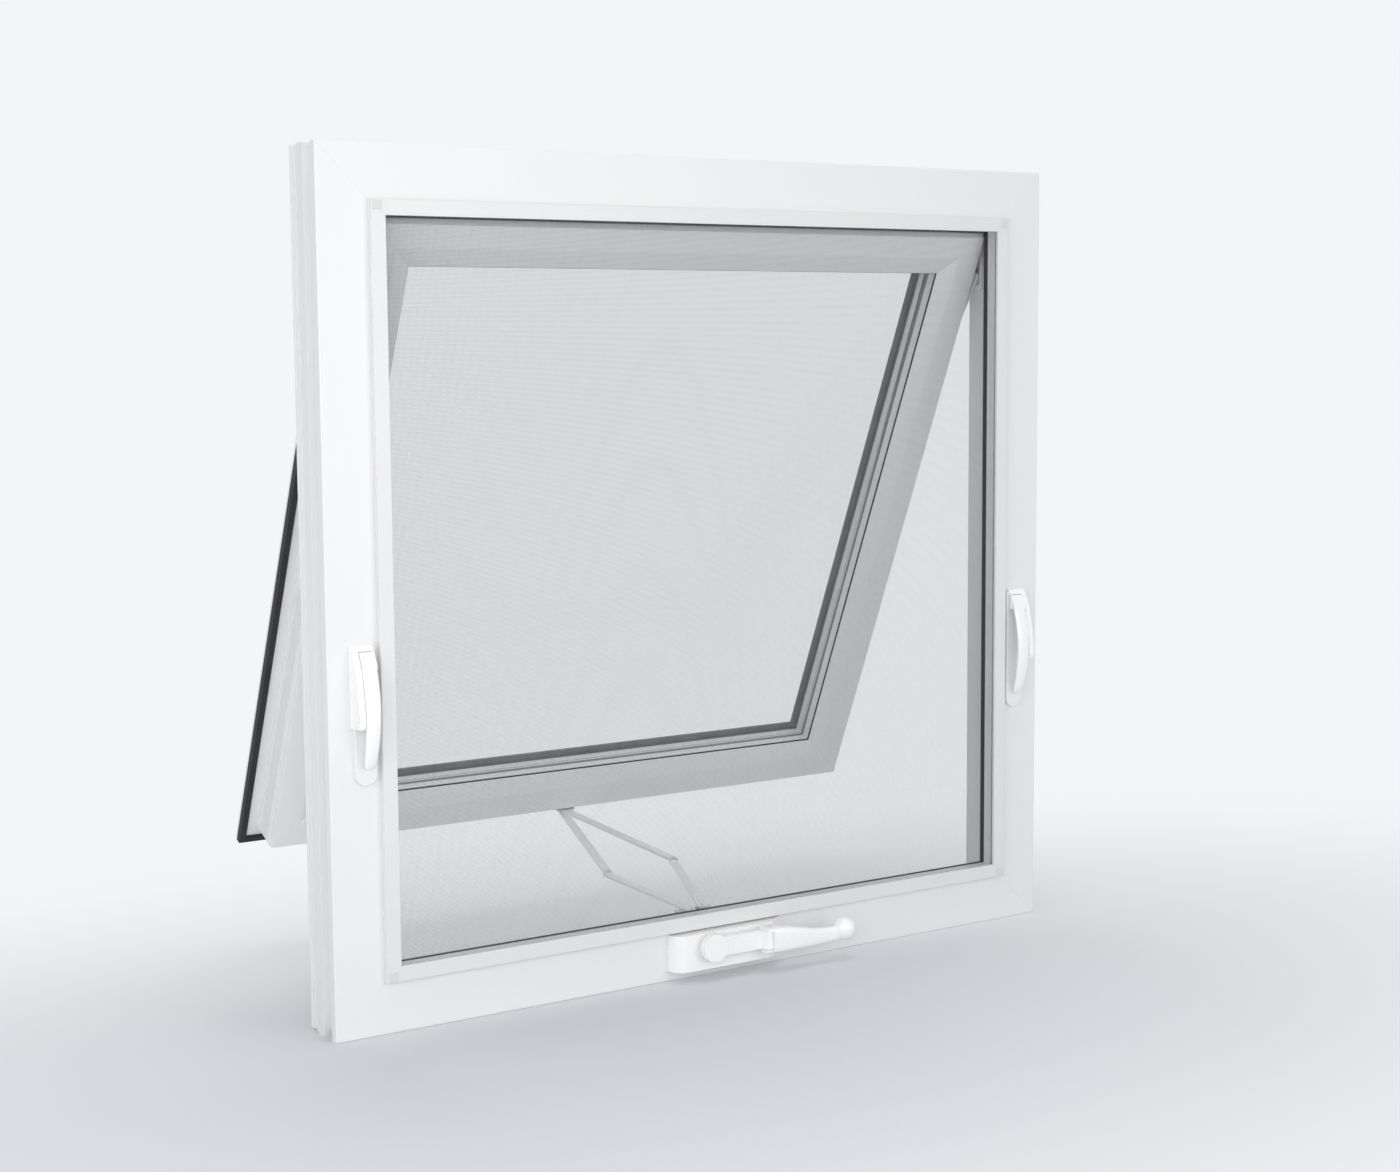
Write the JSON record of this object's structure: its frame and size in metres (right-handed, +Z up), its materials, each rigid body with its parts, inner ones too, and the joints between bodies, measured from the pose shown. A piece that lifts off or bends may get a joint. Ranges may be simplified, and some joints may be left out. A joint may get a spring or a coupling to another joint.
{
  "type": "awning window",
  "caption": "Top-hung window that opens outward, with mitred frame and sash, sealed glazing, a room-side insect screen, a crank operator with folding handle, and lever locks.",
  "frame": {"origin": "middle of the frame's underside, half way through the frame's depth", "axes": "+X to the right seen from the room, +Y to the outside, +Z up"},
  "size_m": [0.932, 0.4322, 0.9],
  "materials": {
    "frame_plastic": "satin white window profile",
    "sash_plastic": "satin white window profile",
    "seal_rubber": "matt black",
    "screen_metal": "white powder coat",
    "mesh_fabric": "charcoal insect mesh",
    "glass": "clear",
    "spacer_metal": "matt grey",
    "hardware_white": "gloss white enamel",
    "steel": "satin stainless"
  },
  "bodies": {
    "window": {"frame_sill": "frame_plastic", "frame_head": "frame_plastic", "frame_jamb_left": "frame_plastic", "frame_jamb_right": "frame_plastic", "sash_bottom_rail": "sash_plastic", "sash_top_rail": "sash_plastic", "sash_stile_left": "sash_plastic", "sash_stile_right": "sash_plastic", "glazing_beads_across": "sash_plastic", "glazing_beads_upright": "sash_plastic", "frame_seal": "seal_rubber", "sash_weatherstrip": "seal_rubber", "glazing_gaskets": "seal_rubber", "screen_spline": "seal_rubber", "screen_bar_bottom": "screen_metal", "screen_bar_top": "screen_metal", "screen_bar_left": "screen_metal", "screen_bar_right": "screen_metal", "screen_corner_plugs": "screen_metal", "screen_mesh": "mesh_fabric", "glass_inner": "glass", "glass_middle": "glass", "glass_outer": "glass", "glass_spacers": "spacer_metal", "operator_cover": "hardware_white", "operator_lower_arms": "hardware_white", "operator_upper_arm_left": "hardware_white", "operator_upper_arm_right": "hardware_white", "lock_body_left": "hardware_white", "lock_body_right": "hardware_white", "stay_tracks": "hardware_white", "stay_arms": "hardware_white", "stay_sash_bars": "hardware_white", "operator_rivets": "steel", "operator_gear_box": "steel", "sash_bracket": "steel", "stay_shoes": "steel", "stay_pins": "steel"},
    "crank": {"crank_arm": "hardware_white"},
    "handle": {"crank_handle": "hardware_white", "handle_pin": "steel", "crank_knob": "hardware_white"},
    "lever_left": {"lock_lever_left": "hardware_white"},
    "lever_right": {"lock_lever_right": "hardware_white"}
  },
  "joints": [
    {"name": "crank_turn", "type": "hinge", "parent": "window", "child": "crank", "pos_m": [-0.026, -0.057, 0.038], "axis": [0, -1, 0], "continuous": true},
    {"name": "handle_fold", "type": "hinge", "parent": "crank", "child": "handle", "pos_m": [0.045, -0.065, 0.038], "axis": [0, 0, -1], "range_deg": [0, 90]},
    {"name": "lever_left_swing", "type": "hinge", "parent": "window", "child": "lever_left", "pos_m": [-0.426, -0.046, 0.389], "axis": [-1, 0, 0], "range_deg": [0, 90]},
    {"name": "lever_right_swing", "type": "hinge", "parent": "window", "child": "lever_right", "pos_m": [0.426, -0.046, 0.389], "axis": [-1, 0, 0], "range_deg": [0, 90]}
  ]
}
